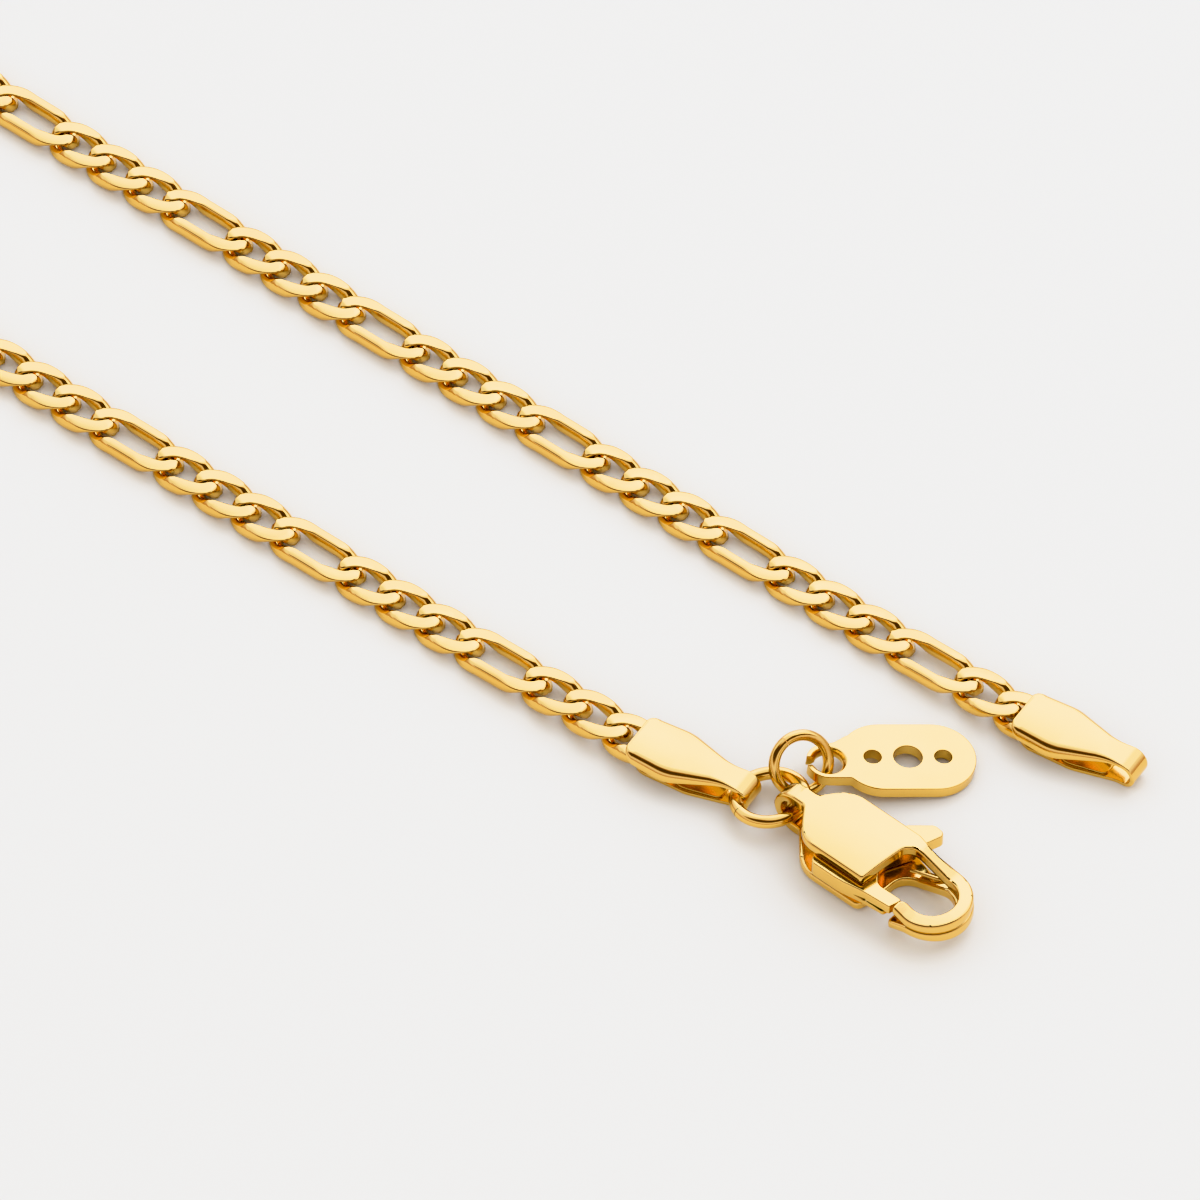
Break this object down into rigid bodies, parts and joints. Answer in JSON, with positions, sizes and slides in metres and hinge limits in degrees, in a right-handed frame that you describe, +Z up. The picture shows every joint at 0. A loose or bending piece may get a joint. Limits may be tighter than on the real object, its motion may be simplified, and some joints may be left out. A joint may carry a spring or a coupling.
{
  "type": "figaro chain necklace",
  "caption": "Figaro link necklace laid out flat, with folded end caps, two jump rings, a small rounded tag and a lobster clasp with a sprung lever.",
  "frame": {"origin": "on the surface the necklace lies on, below the middle of its length and width", "axes": "+X from the hidden loop towards the two ends, +Y towards the strand of the free end, +Z up from the surface"},
  "size_m": [0.1936, 0.0749, 0.0036],
  "materials": {
    "chain": "polished gold",
    "caps": "polished gold",
    "rings": "polished gold",
    "tag": "polished gold",
    "clasp": "polished gold",
    "lever": "polished gold"
  },
  "bodies": {
    "necklace": {"chain_clasp_half": "chain", "chain_free_half": "chain", "cap_clasp_side": "caps", "cap_free_side": "caps", "jump_ring_clasp": "rings", "jump_ring_tag": "rings", "tag": "tag", "clasp_body": "clasp", "clasp_pin": "clasp"},
    "lever": {"clasp_lever": "lever"}
  },
  "joints": [
    {"name": "lever_hinge", "type": "hinge", "parent": "necklace", "child": "lever", "pos_m": [0.08683, -0.00793, 0.00165], "axis": [0, 0, 1], "range_deg": [0, 20], "stiffness_Nm_per_rad": 0.01, "springref_deg": -5.73}
  ]
}
